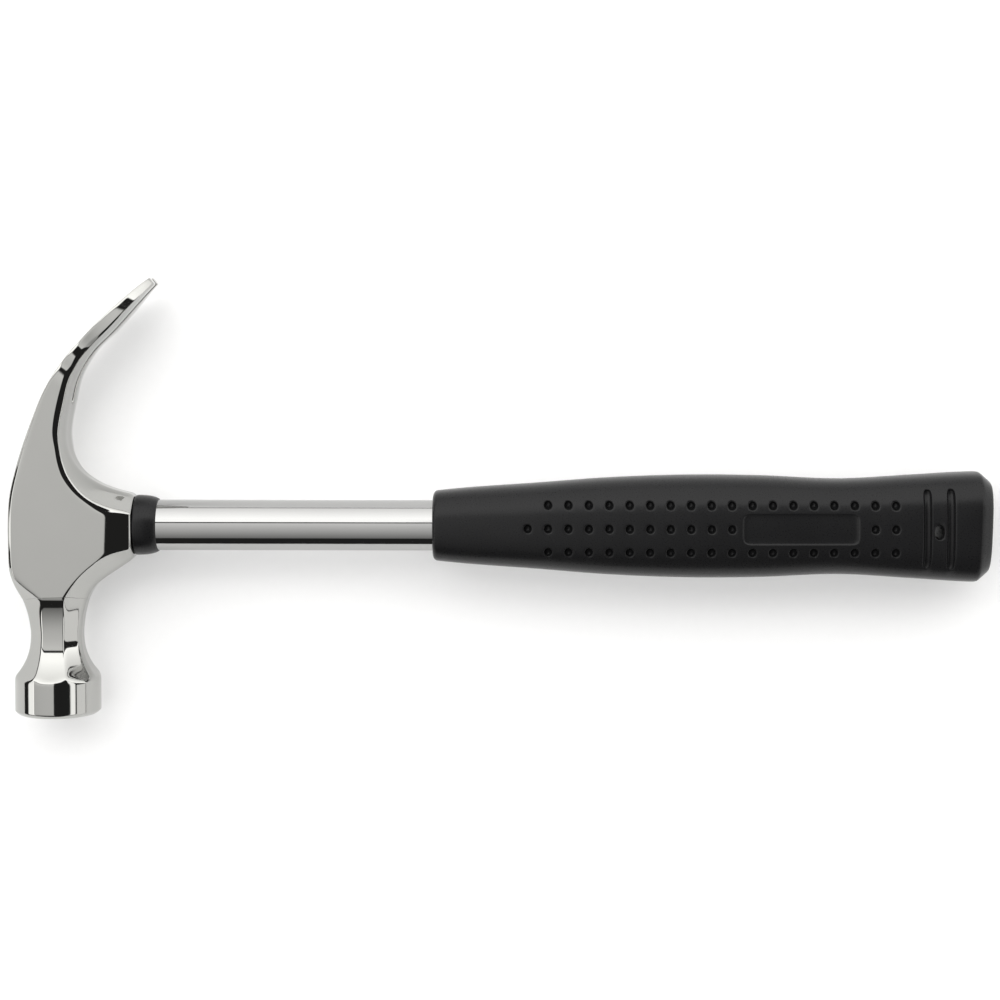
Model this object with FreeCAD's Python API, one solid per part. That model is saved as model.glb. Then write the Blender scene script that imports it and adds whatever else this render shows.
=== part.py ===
"""Claw hammer with a tubular steel shaft, as its separate pieces, in millimetres.

The hammer lies on its side: X runs along the shaft from head to butt, Y runs along the head
from the striking face up to the claw, and Z is up, across the head's thickness.
The pieces are drawn with the shaft's axis on X and the poll's axis on Y, and are then moved
so that the origin is the centre of the foot of the box that the whole hammer fills.

    hammer_head    forged and plated: bell, octagonal neck, cheeks, curved claw, through eye
    shaft_tube     plated steel tube, its end swelled into the tapered top of the eye
    eye_plug       hardwood plug that backs the tube inside the eye
    ring_wedge     round steel wedge driven into the end of the plug
    neck_collar    rubber ring that closes the eye's mouth
    grip_sleeve    moulded grip with dimples, a blank label panel, two grooves and a hanging hole
    butt_plug      plug and flange that cover the tube's cut edge inside the grip
"""

import os
from math import copysign, cos, pi, sin

import FreeCAD
import Part
from FreeCAD import Vector as V

# ---- overall sizes -------------------------------------------------------------------------
FACE_Y = -61.0  # striking face, from the shaft's axis
BUTT_X = 298.0  # far end of the grip, from the poll's axis
BELL_R = 13.75
TUBE_R = 8.15


# ---- head ----------------------------------------------------------------------------------
BACK_X = -13.8  # top of the head, where the eye comes out
NECK_END_X = 25.4  # mouth of the eye, which the collar closes
NECK_END_HALF = TUBE_R + 2.05  # half the head's height at the mouth
MOUTH_HALF = TUBE_R + 1.85  # half the head's thickness at the mouth
SLOPE_LENGTH = 8.2  # the cheeks slope down to the mouth over this length
CHEEK_HALF = TUBE_R + 3.35  # half the thickness over the cheeks
CLAW_HALF = BELL_R  # half the width over the claws, so that the hammer lies level
MID_HALF = CHEEK_HALF - 4.0  # the outline is full up to here, and draws in above it
BACK_DRAW = 1.0  # how far the back edge draws in by the cheek's flat
FLARE_Y = 50.0  # the claws widen from here
CLAW_ROOT_Y = 20.0  # the claw rises from here
TIP_X = 31.9
TIP_Y = 79.8
TIP_THICK = 2.6
SLOT_TIP_HALF = 4.5  # nail slot, half its width at the tips
SLOT_ROOT_HALF = 1.1
SLOT_ROOT_Y = 41.0
NECK_TOP_Y = -19.0  # the neck leaves the cheeks here
WAIST_Y = -34.0
WAIST_HALF = 8.1  # half the width across the neck's flats, where it is narrowest
BELL_LENGTH = 10.6  # from the face to where the neck's flats have run out
BELL_OVERRUN = 1.25  # how far past the bell's radius the flats are drawn
FACE_CHAMFER = 1.3

# ---- shaft and what is in the eye ----------------------------------------------------------
TUBE_WALL = 1.4
TUBE_END_X = BUTT_X - 26.0
TUBE_SINK = 0.3  # the tube's end lies this far below the back of the head
SWELL = 0.8  # how much the tube's end grows in radius
SWELL_LENGTH = 9.0
PLUG_LENGTH = 34.0
WEDGE_R = 4.3
WEDGE_WALL = 0.9
WEDGE_LENGTH = 7.0
WEDGE_TAPER = 0.45  # the wedge's wall thins by this much to its driven end

# ---- collar --------------------------------------------------------------------------------
COLLAR_LENGTH = 7.5
COLLAR_STEP = 0.35  # how far the head's mouth stands above the collar
COLLAR_LIP = 0.55  # how thick the collar is at its outer end
COLLAR_ROUND = 3.6  # length over which it rounds down to the lip

# ---- grip ----------------------------------------------------------------------------------
GRIP_X = 121.0
GRIP_MOUTH_ROUND = 1.4
GRIP_SQUARENESS = 0.82  # power of the sine and cosine in the section: 1 is an ellipse
BUTT_SQUARENESS = 0.66  # the same at the butt
BUTT_SLANT = 0.03  # how far the butt leans, as a slope
BUTT_BEVEL_LENGTH = 3.8
BUTT_BEVEL_DEPTH = 3.3
SECTION_POINTS = 32
# place along the grip as a share of its length, and how far it stands over the shaft's
# radius in height and in thickness
GRIP_SECTIONS = [
    (0.00, 3.05, 2.65),
    (0.07, 4.25, 3.35),
    (0.18, 5.65, 4.45),
    (0.32, 7.55, 5.25),
    (0.46, 8.45, 5.6),
    (0.59, 8.25, 5.45),
    (0.73, 7.25, 4.95),
    (0.86, 8.5, 5.15),
    (0.95, 9.5, 5.6),
    (1.00, 9.7, 5.6),
]
GROOVES = [(BUTT_X - 20.9, 12.6), (BUTT_X - 13.6, 13.7)]  # place and half length
GROOVE_HALF = 1.35
GROOVE_DEPTH = 0.8
GROOVE_Y = -0.5
HANG_HOLE_X = (GROOVES[0][0] + GROOVES[1][0]) / 2
HANG_HOLE_R = 1.6
HANG_HOLE_STRETCH = 1.0  # half the straight run that makes the hole taller than wide
LABEL_X = (BUTT_X - 79.2, BUTT_X - 41.6)
LABEL_HALF = 5.0
LABEL_DEPTH = 0.5
DIMPLE_R = 1.25
DIMPLE_DEPTH = 1.3
DIMPLE_X = GRIP_X + 30.4
DIMPLE_PITCH = 6.43
DIMPLE_ROW = 7.4
DIMPLE_SINK = 1.3  # how far the surface falls off from the middle row to the outer ones
DIMPLE_MARGIN = 2.0  # a middle dimple this near the label is left out
DIMPLES_TO_GROOVE = 9.5
FLANGE = 1.6  # butt plug's flange, past the tube's end
STEM_LENGTH = 14.0
STEM_CLEARANCE = 0.05

BEYOND = 40.0  # longer than any piece is wide, for tools that cut right through


def curve(points):
    """A smooth edge through points of the XY plane."""
    spline = Part.BSplineCurve()
    spline.interpolate([V(x, y, 0) for x, y in points])
    return spline.toShape()


def straight(a, b):
    return Part.makeLine(V(a[0], a[1], 0), V(b[0], b[1], 0))


def sheet(points):
    """A flat face inside a closed outline of the XY plane."""
    corners = [V(x, y, 0) for x, y in points]
    return Part.Face(Part.makePolygon(corners + corners[:1]))


def turned(outline):
    """The solid that an outline of the XY plane makes when it turns about X."""
    return sheet(outline).revolve(V(0, 0, 0), V(1, 0, 0), 360)


def rod(radius, x0, x1):
    return Part.makeCylinder(radius, x1 - x0, V(x0, 0, 0), V(1, 0, 0))


# ---- head ----------------------------------------------------------------------------------
def claw_y(share):
    """A height on the claw, as a share of the way from its root to its tips."""
    return CLAW_ROOT_Y + share * (TIP_Y - CLAW_ROOT_Y)


def head_wire(height, back, inner, mouth, low_right, foot, low_left):
    """The closed outline of cheek and claw at a height: eight edges, always in this order."""
    tip_outer = (TIP_X, TIP_Y)
    tip_inner = (TIP_X + 0.66 * TIP_THICK, TIP_Y - 0.75 * TIP_THICK)
    outer = [
        (BACK_X + back, 9.0),
        (-10.1 + back, claw_y(0.07)),
        (-4.0 + back, claw_y(0.325)),
        (4.8 + 0.9 * back, claw_y(0.58)),
        (19.7 + 0.4 * back, claw_y(0.834) - 0.2 * back),
        tip_outer,
    ]
    edges = [
        straight(low_left[-1], outer[0]),
        curve(outer),
        straight(tip_outer, tip_inner),
        curve([tip_inner, *inner, (NECK_END_X, mouth)]),
        straight((NECK_END_X, mouth), (NECK_END_X, -mouth)),
        curve([(NECK_END_X, -mouth), *low_right, foot[0]]),
        straight(foot[0], foot[1]),
        curve([foot[1], *low_left]),
    ]
    wire = Part.Wire(edges)
    wire.translate(V(0, 0, height))
    return wire


def drawn_in(full, flat, share):
    """Points between the full outline and the cheek's flat, or beyond it for a share above 1."""
    return [(a[0] + share * (b[0] - a[0]), a[1] + share * (b[1] - a[1])) for a, b in zip(full, flat)]


def cheek_and_claw():
    """Full outline at mid thickness, drawn in towards both sides, then cut to thickness."""
    inner = [
        (23.2, claw_y(0.795)),
        (12.2, claw_y(0.6)),
        (5.5, claw_y(0.405)),
        (3.7, claw_y(0.21)),
        (4.6, claw_y(0.08)),
        (8.8, 17.2),
        (14.5, 13.2),
    ]
    inner_flat = [
        (22.6, claw_y(0.8)),
        (10.6, claw_y(0.62)),
        (3.4, claw_y(0.415)),
        (1.2, claw_y(0.225)),
        (1.7, claw_y(0.07)),
        (5.4, 15.3),
        (12.4, 8.6),
    ]
    mouth = [(0, NECK_END_HALF)]
    mouth_flat = [(0, 3.2)]
    low_right = [(20.6, -13.1), (13.4, -18.6), (9.6, -24.0)]
    low_right_flat = [(16.2, -9.2), (8.8, -15.9), (6.2, -19.4)]
    foot = [(8.4, -29.0), (-8.4, -29.0)]
    foot_flat = [(4.4, -23.6), (-3.6, -23.8)]
    low_left = [(-10.4, -23.6), (-12.6, -18.5), (BACK_X, -11.0)]
    low_left_flat = [(-6.0, -20.6), (-10.0, -17.6), (BACK_X + BACK_DRAW, -15.4)]

    top = CLAW_HALF + 0.5
    share = (top - MID_HALF) / (CHEEK_HALF - MID_HALF)
    full = head_wire(MID_HALF, 0, inner, NECK_END_HALF, low_right, foot, low_left)
    narrow = head_wire(
        top,
        share * BACK_DRAW,
        drawn_in(inner, inner_flat, share),
        drawn_in(mouth, mouth_flat, share)[0][1],
        drawn_in(low_right, low_right_flat, share),
        drawn_in(foot, foot_flat, share),
        drawn_in(low_left, low_left_flat, share),
    )
    side = Part.makeLoft([full, narrow], True, True)
    middle = Part.Face(full).extrude(V(0, 0, -2 * MID_HALF))
    body = middle.fuse([side, side.mirror(V(0, 0, 0), V(0, 0, 1))])
    return body.common(thickness_over_y()).common(thickness_over_x())


def thickness_over_y():
    """Seen along X: parallel over the cheeks, then widening to the tips of the claws."""
    half = [(FACE_Y, CHEEK_HALF), (FLARE_Y, CHEEK_HALF), (TIP_Y + 1, CLAW_HALF)]
    outline = [V(-BEYOND, y, z) for y, z in half] + [V(-BEYOND, y, -z) for y, z in reversed(half)]
    return Part.Face(Part.makePolygon(outline + outline[:1])).extrude(V(3 * BEYOND, 0, 0))


def thickness_over_x():
    """Seen along Y below the claw: the cheeks slope down to the mouth of the eye."""
    slope_x = NECK_END_X - SLOPE_LENGTH
    half = [(-BEYOND, BEYOND), (0, BEYOND), (slope_x, CHEEK_HALF), (NECK_END_X, MOUTH_HALF), (BEYOND, 0)]
    outline = [V(x, -BEYOND, z) for x, z in half] + [V(x, -BEYOND, -z) for x, z in reversed(half[:-1])]
    low = Part.Face(Part.makePolygon(outline + outline[:1])).extrude(V(0, BEYOND + 22.0, 0))
    high = Part.makeBox(4 * BEYOND, 4 * BEYOND, 4 * BEYOND, V(-2 * BEYOND, 20.0, -2 * BEYOND))
    return low.fuse(high)


def neck_flats():
    """Half the width across the neck's flats, from the cheeks past the waist to the bell."""
    shoulder = FACE_Y + BELL_LENGTH
    flats = []
    for share in (1.0, 0.75, 0.5, 0.25, 0.0):
        half = WAIST_HALF + (CHEEK_HALF - WAIST_HALF) * share**2
        flats.append((half, WAIST_Y + share * (NECK_TOP_Y - WAIST_Y)))
    for share in (0.25, 0.45, 0.6, 0.72, 0.82, 0.91, 1.0):
        half = WAIST_HALF + (BELL_R + BELL_OVERRUN - WAIST_HALF) * share**2.6
        flats.append((half, WAIST_Y + share * (shoulder - WAIST_Y)))
    return flats


def neck_and_bell():
    """Eight flared flats that run out into the round of the bell."""
    right = neck_flats()
    left = [(-x, y) for x, y in reversed(right)]
    edges = [curve(right), straight(right[-1], left[0]), curve(left), straight(left[-1], right[0])]
    slab = Part.Face(Part.Wire(edges)).extrude(V(0, 0, 2 * BEYOND))
    slab.translate(V(0, 0, -BEYOND))
    neck = slab
    for angle in (45, 90, 135):
        turned_slab = slab.copy()
        turned_slab.rotate(V(0, 0, 0), V(0, 1, 0), angle)
        neck = neck.common(turned_slab)
    round_part = Part.makeCylinder(BELL_R, NECK_TOP_Y - FACE_Y, V(0, FACE_Y, 0), V(0, 1, 0))
    bell = Part.makeCylinder(BELL_R, BELL_LENGTH, V(0, FACE_Y, 0), V(0, 1, 0))
    poll = neck.common(round_part).fuse(bell).removeSplitter()
    rim = [e for e in poll.Edges if abs(e.BoundBox.YMax - FACE_Y) < 0.01 and e.BoundBox.XLength > BELL_R]
    return poll.makeChamfer(FACE_CHAMFER, rim)


def nail_slot():
    """Seen along X: a V between the claws, round at its root."""
    side = [(SLOT_ROOT_Y, SLOT_ROOT_HALF), (TIP_Y + 3, SLOT_TIP_HALF)]
    outline = [V(-BEYOND, y, z) for y, z in side] + [V(-BEYOND, y, -z) for y, z in reversed(side)]
    slot = Part.Face(Part.makePolygon(outline + outline[:1])).extrude(V(3 * BEYOND, 0, 0))
    root = Part.makeCylinder(SLOT_ROOT_HALF, 3 * BEYOND, V(-BEYOND, SLOT_ROOT_Y, 0), V(1, 0, 0))
    return slot.fuse(root)


def swelled(radius, start, end):
    """A rod whose first stretch opens out as the tapered top of the eye does."""
    return turned([
        (start, 0),
        (start, radius + SWELL),
        (start + SWELL_LENGTH, radius),
        (end, radius),
        (end, 0),
    ])


def hammer_head():
    head = cheek_and_claw().fuse(neck_and_bell()).removeSplitter()
    head = head.cut(nail_slot())
    eye = swelled(TUBE_R, BACK_X + TUBE_SINK, NECK_END_X + 1)
    mouth = rod(TUBE_R + SWELL, BACK_X - 1, BACK_X + TUBE_SINK)
    return head.cut(eye).cut(mouth)


# ---- shaft and what is in the eye ----------------------------------------------------------
def shaft_tube():
    start = BACK_X + TUBE_SINK
    outside = swelled(TUBE_R, start, TUBE_END_X)
    return outside.cut(swelled(TUBE_R - TUBE_WALL, start, TUBE_END_X))


def wedge_solid():
    start = BACK_X + TUBE_SINK
    end = start + WEDGE_LENGTH
    return turned([
        (start, WEDGE_R - WEDGE_WALL),
        (start, WEDGE_R),
        (end, WEDGE_R - WEDGE_TAPER / 2),
        (end, WEDGE_R - WEDGE_WALL + WEDGE_TAPER / 2),
    ])


def eye_plug():
    start = BACK_X + TUBE_SINK
    return swelled(TUBE_R - TUBE_WALL, start, start + PLUG_LENGTH).cut(wedge_solid())


def ring_wedge():
    return wedge_solid()


# ---- collar --------------------------------------------------------------------------------
def neck_collar():
    x0 = NECK_END_X
    x1 = x0 + COLLAR_LENGTH
    full = MOUTH_HALF - COLLAR_STEP
    lip = TUBE_R + COLLAR_LIP
    shoulder = x1 - COLLAR_ROUND
    rounding = [(shoulder, full), (x1 - 0.45 * COLLAR_ROUND, full - 0.2 * (full - lip)), (x1, lip)]
    edges = [
        straight((x0, TUBE_R), (x0, full)),
        straight((x0, full), (shoulder, full)),
        curve(rounding),
        straight((x1, lip), (x1, TUBE_R)),
        straight((x1, TUBE_R), (x0, TUBE_R)),
    ]
    return Part.Face(Part.Wire(edges)).revolve(V(0, 0, 0), V(1, 0, 0), 360)


# ---- grip ----------------------------------------------------------------------------------
def grip_sections():
    """Place along X, half the height and half the thickness of each of the grip's sections."""
    length = BUTT_X - BUTT_BEVEL_LENGTH - GRIP_X
    return [(GRIP_X + share * length, TUBE_R + high, TUBE_R + thick) for share, high, thick in GRIP_SECTIONS]


def grip_wire(x, half_height, half_thickness):
    """One section of the grip: an oval, squarer than an ellipse and most so at the butt."""
    share = (x - GRIP_X) / (BUTT_X - GRIP_X)
    power = GRIP_SQUARENESS + (BUTT_SQUARENESS - GRIP_SQUARENESS) * share**4
    points = []
    for step in range(SECTION_POINTS):
        angle = 2 * pi * (step + 0.5) / SECTION_POINTS
        across = copysign(abs(cos(angle)) ** power, cos(angle)) * half_height
        up = copysign(abs(sin(angle)) ** power, sin(angle)) * half_thickness
        points.append(V(x + BUTT_SLANT * across * share, across, up))
    spline = Part.BSplineCurve()
    spline.interpolate(points, PeriodicFlag=True)
    return Part.Wire([spline.toShape()])


def grip_body():
    """Rounded mouth, swelling body and bevelled butt."""
    sections = grip_sections()
    wires = [grip_wire(*section) for section in sections]
    body = Part.makeLoft(wires, True, False)
    _, height, thick = sections[-1]
    end = grip_wire(BUTT_X, height - BUTT_BEVEL_DEPTH, thick - BUTT_BEVEL_DEPTH)
    butt = Part.makeLoft([wires[-1], end], True, True)
    mouth = [e for e in body.Edges if e.BoundBox.XMax < GRIP_X + 0.01]
    return body.makeFillet(GRIP_MOUTH_ROUND, mouth).fuse(butt)


def surface_half(x):
    """Half the grip's thickness at a place along it, taken straight between its sections."""
    sections = grip_sections()
    for low, high in zip(sections, sections[1:]):
        if x <= high[0]:
            along = (x - low[0]) / (high[0] - low[0])
            return low[2] + along * (high[2] - low[2])
    return sections[-1][2]


def dimples():
    """Blind holes in three rows, pressed into both sides."""
    tools = []
    columns = 1 + int((GROOVES[0][0] - DIMPLES_TO_GROOVE - DIMPLE_X) / DIMPLE_PITCH)
    margin = DIMPLE_R + DIMPLE_MARGIN
    for column in range(columns):
        x = DIMPLE_X + column * DIMPLE_PITCH
        rows = [] if LABEL_X[0] - margin < x < LABEL_X[1] + margin else [0.0]
        if column > 0:
            rows += [DIMPLE_ROW, -DIMPLE_ROW]
        for y in rows:
            floor = surface_half(x) - DIMPLE_DEPTH - DIMPLE_SINK * (y / DIMPLE_ROW) ** 2
            tools.append(Part.makeCylinder(DIMPLE_R, BEYOND, V(x, y, floor)))
            tools.append(Part.makeCylinder(DIMPLE_R, BEYOND, V(x, y, -floor), V(0, 0, -1)))
    return tools


def obround(x0, x1, half, z0, z1):
    """A flat-sided bar with round ends, long along X, from one height to another."""
    box = Part.makeBox(x1 - x0 - 2 * half, 2 * half, z1 - z0, V(x0 + half, -half, z0))
    ends = [Part.makeCylinder(half, z1 - z0, V(x, 0, z0)) for x in (x0 + half, x1 - half)]
    return box.fuse(ends).removeSplitter()


def label_panels():
    depth = surface_half(sum(LABEL_X) / 2) - LABEL_DEPTH
    panel = obround(LABEL_X[0], LABEL_X[1], LABEL_HALF, depth, depth + BELL_R)
    return [panel, panel.mirror(V(0, 0, 0), V(0, 0, 1))]


def grooves():
    """Two round-ended grooves a side, which follow the surface at an even depth."""
    tools = []
    floor = groove_floor()
    for x, half_length in GROOVES:
        bar = obround(-half_length, half_length, GROOVE_HALF, 0, 2 * BELL_R)
        bar.rotate(V(0, 0, 0), V(0, 0, 1), 90)
        bar.translate(V(x, GROOVE_Y, 0))
        tool = bar.cut(floor)
        tools.append(tool)
        tools.append(tool.mirror(V(0, 0, 0), V(0, 0, 1)))
    return tools


def hang_hole():
    """The hole through the butt, a little taller than it is wide."""
    length = HANG_HOLE_R + HANG_HOLE_STRETCH
    hole = obround(-length, length, HANG_HOLE_R, -BEYOND, BEYOND)
    hole.rotate(V(0, 0, 0), V(0, 0, 1), 90)
    hole.translate(V(HANG_HOLE_X, 0, 0))
    return hole


def groove_floor():
    """The grip's own surface near the butt, sunk by the depth of the grooves."""
    near_butt = grip_sections()[-4:]
    wires = [grip_wire(x, high - GROOVE_DEPTH, thick - GROOVE_DEPTH) for x, high, thick in near_butt]
    return Part.makeLoft(wires, True, False)


def grip_sleeve():
    grip = grip_body()
    grip = grip.cut(rod(TUBE_R, GRIP_X - 1, TUBE_END_X + FLANGE))
    grip = grip.cut(dimples())
    grip = grip.cut(label_panels())
    grip = grip.cut(grooves())
    return grip.cut(hang_hole())


def butt_plug():
    bore = TUBE_R - TUBE_WALL
    stem = rod(bore - STEM_CLEARANCE, TUBE_END_X - STEM_LENGTH, TUBE_END_X)
    return stem.fuse(rod(TUBE_R, TUBE_END_X, TUBE_END_X + FLANGE)).removeSplitter()


PIECES = {
    "hammer_head": hammer_head,
    "shaft_tube": shaft_tube,
    "eye_plug": eye_plug,
    "ring_wedge": ring_wedge,
    "neck_collar": neck_collar,
    "grip_sleeve": grip_sleeve,
    "butt_plug": butt_plug,
}

if __name__ == "__main__":
    os.makedirs("parts", exist_ok=True)
    butt_reach = BUTT_X + BUTT_SLANT * (grip_sections()[-1][1] - BUTT_BEVEL_DEPTH)
    to_origin = V(-(BACK_X + butt_reach) / 2, -(FACE_Y + TIP_Y) / 2, BELL_R)
    for name, build in PIECES.items():
        shape = build()
        shape.translate(to_origin)
        solids = shape.Solids
        if len(solids) == 1:
            shape = solids[0]
        box = shape.BoundBox
        size = f"{box.XLength:.1f} x {box.YLength:.1f} x {box.ZLength:.1f} mm"
        print(f"{name}: {len(solids)} solid, valid {shape.isValid()}, {shape.Volume / 1000:.2f} cm3, {size}")
        shape.exportStep(f"parts/{name}.step")
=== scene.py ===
# %% [markdown]
# # A claw hammer with a tubular steel shaft
#
# The hammer lies on its side on a pale table. Its frame is the CAD model: X runs along the
# shaft from head to butt, Y along the head from striking face to claw, and Z is up.
# The lesson builds the four pieces that are seen (head, shaft, collar and grip) as clean,
# mostly quad meshes in the places that the CAD nodes give, then table, light and camera.

# %% Load the frame
import math

import bmesh
import bpy
from mathutils import Matrix, Vector


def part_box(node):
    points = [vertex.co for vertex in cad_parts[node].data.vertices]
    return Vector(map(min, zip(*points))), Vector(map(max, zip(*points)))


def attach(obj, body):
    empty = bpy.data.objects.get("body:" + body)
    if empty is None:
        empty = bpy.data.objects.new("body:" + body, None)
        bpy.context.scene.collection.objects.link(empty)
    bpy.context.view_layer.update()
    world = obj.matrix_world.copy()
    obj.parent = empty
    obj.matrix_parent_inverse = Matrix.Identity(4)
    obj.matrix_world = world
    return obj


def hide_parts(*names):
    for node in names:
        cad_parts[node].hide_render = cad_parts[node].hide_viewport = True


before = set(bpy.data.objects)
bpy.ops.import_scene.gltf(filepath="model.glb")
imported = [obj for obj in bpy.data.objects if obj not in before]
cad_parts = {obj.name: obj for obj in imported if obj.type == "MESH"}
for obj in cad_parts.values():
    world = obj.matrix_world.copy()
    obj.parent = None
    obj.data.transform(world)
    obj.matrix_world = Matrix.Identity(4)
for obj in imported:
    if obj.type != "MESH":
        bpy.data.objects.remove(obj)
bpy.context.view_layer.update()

# %% [markdown]
# ## A workshop ruler
#
# Hammers are drawn in millimetres from two lines that a toolmaker uses: the axis of the shaft
# and the axis of the poll, which cross in the eye. `at()` turns such a drawing point into the
# frame's metres. Its offsets come from the boxes of the CAD nodes.

# %% From drawing millimetres to the frame
MM = 0.001
BACK = 13.8  # from the poll's axis to the top of the head
head_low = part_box("hammer_head")[0]
tube_low, tube_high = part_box("shaft_tube")
ORIGIN = Vector((
    head_low[0] + BACK * MM,
    (tube_low[1] + tube_high[1]) / 2,
    (tube_low[2] + tube_high[2]) / 2,
))


def at(x, y, z):
    """A drawing point in millimetres as a place in the frame."""
    return ORIGIN + Vector((x, y, z)) * MM


FACE_Y = (head_low[1] - ORIGIN.y) / MM
BUTT_X = (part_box("grip_sleeve")[1][0] - ORIGIN.x) / MM
print(f"striking face at y {FACE_Y:.2f} mm, butt at x {BUTT_X:.2f} mm")

# %% [markdown]
# ## Two helpers for every piece
#
# `finished()` hangs a mesh on the frame: it rides the hammer's one body and hides the CAD node
# that it stands for. `fair()` draws a fair curve through a few points, as
# a draughtsman's spline does, so that an outline needs only the points of its shape.

# %% Helpers
def finished(name, bm, material, node, subdivide=0):
    """A mesh as a piece of the hammer that stands for a CAD node."""
    bmesh.ops.remove_doubles(bm, verts=bm.verts, dist=0.002 * MM)
    bmesh.ops.recalc_face_normals(bm, faces=bm.faces)
    for face in bm.faces:
        face.smooth = True
    mesh = bpy.data.meshes.new(name)
    bm.to_mesh(mesh)
    bm.free()
    piece = bpy.data.objects.new(name, mesh)
    bpy.context.collection.objects.link(piece)
    mesh.materials.append(material)
    if subdivide:
        rounding = piece.modifiers.new("rounding", "SUBSURF")
        rounding.levels = subdivide
        rounding.render_levels = subdivide
    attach(piece, "root")
    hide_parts(node)
    print(f"{name}: {len(mesh.polygons)} faces")
    return piece


def fair(points, x):
    """Values at x of the fair curves through rows of (x, value, value, ...)."""
    low = 0
    while low < len(points) - 2 and points[low + 1][0] < x:
        low += 1
    before = points[max(low - 1, 0)]
    start = points[low]
    end = points[low + 1]
    after = points[min(low + 2, len(points) - 1)]
    span = end[0] - start[0]
    share = min(max((x - start[0]) / span, 0), 1)
    values = []
    for k in range(1, len(start)):
        leaving = (end[k] - before[k]) / (end[0] - before[0]) * span
        arriving = (after[k] - start[k]) / (after[0] - start[0]) * span
        rise = end[k] - start[k]
        cubic = leaving + arriving - 2 * rise
        values.append(start[k] + share * (leaving + share * (rise - leaving - (1 - share) * cubic)))
    return values


# %% [markdown]
# ## Finishes: chrome
#
# The head is ground, polished and chrome plated. Chrome shows its surroundings, so its colour
# is nearly one plain grey, which a wide, faint noise lets wander a little. A fine noise,
# stretched along the last polishing strokes, moves the roughness and a very low bump. All of it
# is weak: on a mirror even a small bump shows.

# %% Chrome
def nodes_of(name):
    """A new material with its node tree, its shader and an Object coordinate."""
    material = bpy.data.materials.new(name)
    material.use_nodes = True
    tree = material.node_tree
    shader = tree.nodes["Principled BSDF"]
    place = tree.nodes.new("ShaderNodeTexCoord").outputs["Object"]
    return material, tree, shader, place


def noise(tree, place, size_mm, detail=3.0, stretch=(1, 1, 1)):
    """Noise whose features are about this many millimetres across."""
    mapping = tree.nodes.new("ShaderNodeMapping")
    mapping.inputs["Scale"].default_value = stretch
    tree.links.new(place, mapping.inputs["Vector"])
    texture = tree.nodes.new("ShaderNodeTexNoise")
    texture.inputs["Scale"].default_value = 1 / (size_mm * MM)
    texture.inputs["Detail"].default_value = detail
    tree.links.new(mapping.outputs["Vector"], texture.inputs["Vector"])
    return texture.outputs["Fac"]


def ranged(tree, value, low, high, from_low=0.3, from_high=0.7):
    """Spread a noise value over a range."""
    spread = tree.nodes.new("ShaderNodeMapRange")
    spread.inputs["From Min"].default_value = from_low
    spread.inputs["From Max"].default_value = from_high
    spread.inputs["To Min"].default_value = low
    spread.inputs["To Max"].default_value = high
    tree.links.new(value, spread.inputs["Value"])
    return spread.outputs["Result"]


def blend(tree, value, dark, light):
    """A colour between two, chosen by a value."""
    mix = tree.nodes.new("ShaderNodeMix")
    mix.data_type = "RGBA"
    tree.links.new(value, mix.inputs["Factor"])
    mix.inputs[6].default_value = (*dark, 1)
    mix.inputs[7].default_value = (*light, 1)
    return mix.outputs[2]


def bumped(tree, shader, value, strength, height_mm):
    """Let a value stand out as a small relief."""
    bump = tree.nodes.new("ShaderNodeBump")
    bump.inputs["Strength"].default_value = strength
    bump.inputs["Distance"].default_value = height_mm * MM
    tree.links.new(value, bump.inputs["Height"])
    tree.links.new(bump.outputs["Normal"], shader.inputs["Normal"])


def chrome(name, grey, roughness, strokes):
    """Polished plating; strokes stretches the last polishing marks along an axis."""
    material, tree, shader, place = nodes_of(name)
    shader.inputs["Metallic"].default_value = 1.0
    wide = noise(tree, place, 14.0)
    dark = tuple(0.96 * channel for channel in grey)
    tree.links.new(blend(tree, wide, dark, grey), shader.inputs["Base Color"])
    fine = noise(tree, place, 0.6, 4.0, strokes)
    tree.links.new(ranged(tree, fine, *roughness), shader.inputs["Roughness"])
    bumped(tree, shader, fine, 0.05, 0.01)
    return material


HEAD_CHROME = chrome("polished_head_chrome", (0.415, 0.415, 0.40), (0.03, 0.07), (1, 0.25, 1))
SHAFT_CHROME = chrome("polished_shaft_chrome", (0.415, 0.415, 0.41), (0.035, 0.075), (0.06, 1, 1))
print("two chromes are ready")

# %% [markdown]
# ## Finishes: rubber, wood and plain steel
#
# The grip and the collar are moulded in soft black rubber. Its skin is satin and faintly
# mottled, with a fine grain from the mould. The plug in the eye is hardwood seen on its end
# grain, and the ring wedge in it is bare steel. The plug in the butt is plastic, out of sight.

# %% Rubber, wood, steel
def rubber(name, dark, light, roughness, grain_mm):
    """Moulded rubber: a faint mottle and a fine grain."""
    material, tree, shader, place = nodes_of(name)
    shader.inputs["Specular IOR Level"].default_value = 0.20
    mottle = noise(tree, place, 9.0, 5.0)
    tree.links.new(blend(tree, mottle, dark, light), shader.inputs["Base Color"])
    grain = noise(tree, place, grain_mm, 2.0)
    tree.links.new(ranged(tree, grain, *roughness), shader.inputs["Roughness"])
    bumped(tree, shader, grain, 0.12, 0.02)
    return material


RUBBER_DARK = (0.0075, 0.0075, 0.0079)
RUBBER_LIGHT = (0.010, 0.010, 0.0105)
SATIN = (0.26, 0.33)
GRIP_RUBBER = rubber("moulded_grip_rubber", RUBBER_DARK, RUBBER_LIGHT, SATIN, 0.45)
COLLAR_RUBBER = rubber("collar_rubber", RUBBER_DARK, RUBBER_LIGHT, SATIN, 0.4)


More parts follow.
